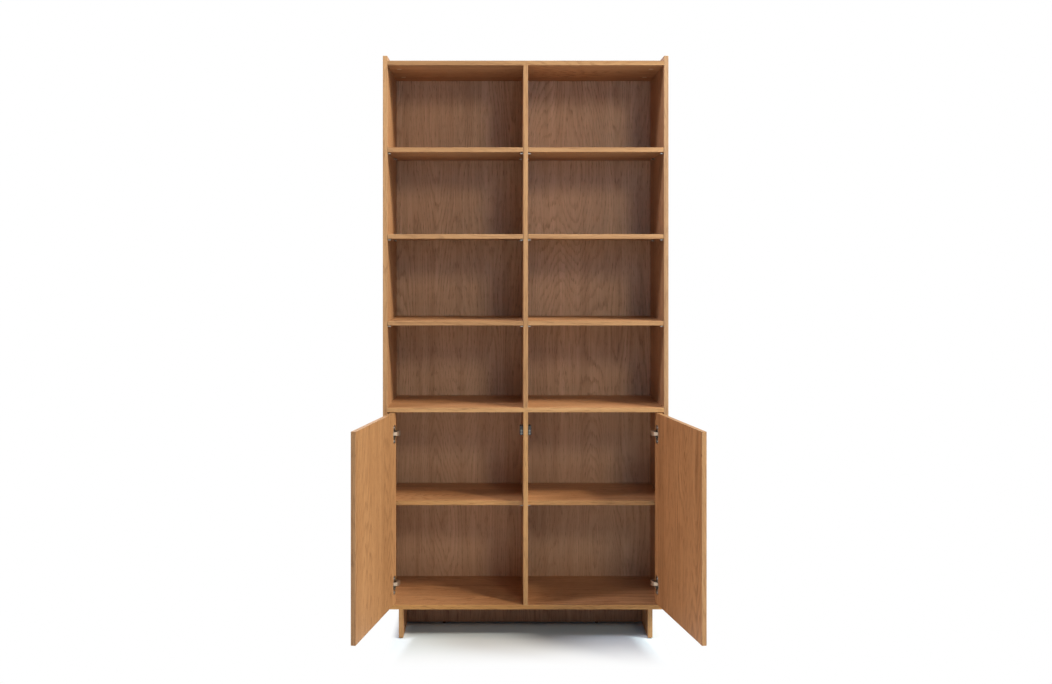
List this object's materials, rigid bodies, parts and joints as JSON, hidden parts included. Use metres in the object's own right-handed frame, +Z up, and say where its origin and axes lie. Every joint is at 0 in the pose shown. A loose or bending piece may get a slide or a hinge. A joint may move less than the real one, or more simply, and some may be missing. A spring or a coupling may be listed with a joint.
{
  "type": "bookcase with cabinet doors",
  "caption": "Tall wooden bookcase with open shelves above a cabinet with inset handleless doors on concealed cup hinges, standing open.",
  "frame": {"origin": "on the floor, under the middle of the outline that includes both open doors", "axes": "+Z up; the open front faces -Y; +X to the right when facing the front"},
  "size_m": [1.113, 0.8335, 2.04],
  "materials": {
    "carcass_wood": "satin oak-coloured board",
    "shelf_wood": "satin oak-coloured board",
    "door_wood": "satin oak-coloured board",
    "base_wood": "satin oak-coloured board",
    "back_wood": "satin oak-coloured thin board",
    "pin_steel": "bright turned steel",
    "hinge_steel": "nickel-plated",
    "screw_steel": "zinc-plated",
    "cam_zinc": "cast zinc",
    "cap_plastic": "pale wood colour",
    "dowel_wood": "raw beech",
    "leg_glide_plastic": "dark",
    "dome_glide_plastic": "black",
    "catch_metal": "grey",
    "pole_steel": "bright"
  },
  "bodies": {
    "carcass": {"back_panel_screws": "screw_steel", "base_cam_bolts": "screw_steel", "base_cam_locks": "cam_zinc", "base_stretcher": "base_wood", "bottom_panel": "carcass_wood", "cam_cover_caps": "cap_plastic", "catch_left": "catch_metal", "catch_poles_left": "pole_steel", "catch_poles_right": "pole_steel", "catch_right": "catch_metal", "catch_screws_left": "screw_steel", "catch_screws_right": "screw_steel", "dowels": "dowel_wood", "fixed_shelf": "carcass_wood", "hinge_arms_left": "hinge_steel", "hinge_arms_right": "hinge_steel", "hinge_clamp_screws_left": "screw_steel", "hinge_clamp_screws_right": "screw_steel", "hinge_plate_screws_left": "screw_steel", "hinge_plate_screws_right": "screw_steel", "hinge_plates_left": "hinge_steel", "hinge_plates_right": "hinge_steel", "leg_glides": "leg_glide_plastic", "leg_panel_left": "base_wood", "leg_panel_right": "base_wood", "lower_back_panel": "back_wood", "lower_divider": "carcass_wood", "lower_shelf_left": "shelf_wood", "lower_shelf_pins_left": "pin_steel", "lower_shelf_pins_right": "pin_steel", "lower_shelf_right": "shelf_wood", "panel_cam_bolts": "screw_steel", "panel_cam_locks": "cam_zinc", "side_panel_left": "carcass_wood", "side_panel_right": "carcass_wood", "stretcher_glides": "dome_glide_plastic", "top_panel": "carcass_wood", "upper_back_panel": "back_wood", "upper_divider": "carcass_wood", "upper_shelf_left_1": "shelf_wood", "upper_shelf_left_2": "shelf_wood", "upper_shelf_left_3": "shelf_wood", "upper_shelf_pins_left": "pin_steel", "upper_shelf_pins_right": "pin_steel", "upper_shelf_right_1": "shelf_wood", "upper_shelf_right_2": "shelf_wood", "upper_shelf_right_3": "shelf_wood"},
    "left_door": {"door_left": "door_wood", "hinge_cup_screws_left": "screw_steel", "hinge_cups_left": "hinge_steel", "hinge_pins_left": "pin_steel", "strike_plate_left": "pole_steel"},
    "right_door": {"door_right": "door_wood", "hinge_cup_screws_right": "screw_steel", "hinge_cups_right": "hinge_steel", "hinge_pins_right": "pin_steel", "strike_plate_right": "pole_steel"}
  },
  "joints": [
    {"name": "left_door_hinge", "type": "hinge", "parent": "carcass", "child": "left_door", "pos_m": [-0.46617, 0.03358, 0.4515], "axis": [0, 0, 1], "range_deg": [-4, 100.5]},
    {"name": "right_door_hinge", "type": "hinge", "parent": "carcass", "child": "right_door", "pos_m": [0.46617, 0.03358, 0.4515], "axis": [0, 0, -1], "range_deg": [-4, 100.5]}
  ]
}
